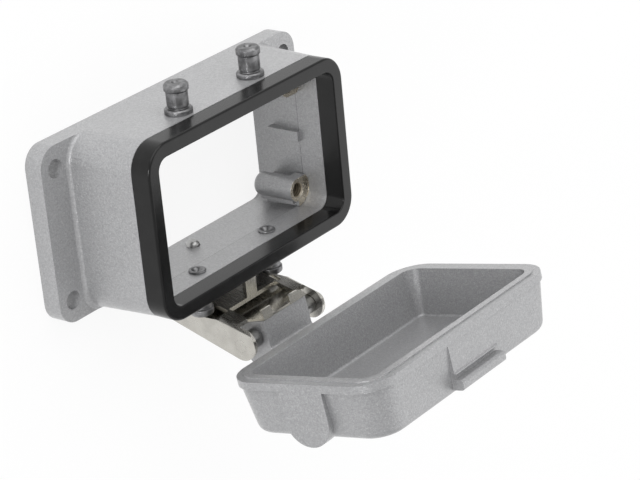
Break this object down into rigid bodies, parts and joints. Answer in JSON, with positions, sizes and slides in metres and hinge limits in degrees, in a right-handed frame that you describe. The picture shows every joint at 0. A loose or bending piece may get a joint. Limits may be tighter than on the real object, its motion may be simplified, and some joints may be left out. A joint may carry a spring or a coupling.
{
  "type": "rectangular connector housing",
  "caption": "Bulkhead-mounting rectangular connector housing with a flange, front seal, locking pegs and a sprung, hinged protective cover that stands open.",
  "frame": {"origin": "centre of the flange's back face, on the panel's surface", "axes": "+Z out of the panel, X along the long side, the cover's hinge on the -Y side; at rest the cover stands open"},
  "size_m": [0.092, 0.0726, 0.0877],
  "materials": {
    "casting": "fine textured grey paint",
    "seal": "matt black",
    "peg_steel": "turned, dark satin",
    "sheet": "satin stainless sheet",
    "spring_strip": "satin spring strip",
    "rivet_steel": "satin",
    "pin_steel": "ground",
    "bush_steel": "polished"
  },
  "bodies": {
    "base": {"housing": "casting", "front_seal": "seal", "panel_seal": "seal", "peg_upper_left": "peg_steel", "peg_upper_right": "peg_steel", "peg_lower_left": "peg_steel", "peg_lower_right": "peg_steel", "hinge_bracket": "sheet", "bracket_rivet": "rivet_steel", "leaf_spring": "spring_strip", "hinge_pin": "pin_steel", "bush_left": "bush_steel", "bush_right": "bush_steel"},
    "cover": {"cover": "casting"}
  },
  "joints": [
    {"name": "cover_hinge", "type": "hinge", "parent": "base", "child": "cover", "pos_m": [0, -0.0347, 0.0288], "axis": [1, 0, 0], "range_deg": [-79.35, 0], "deforming": ["leaf_spring"]}
  ]
}
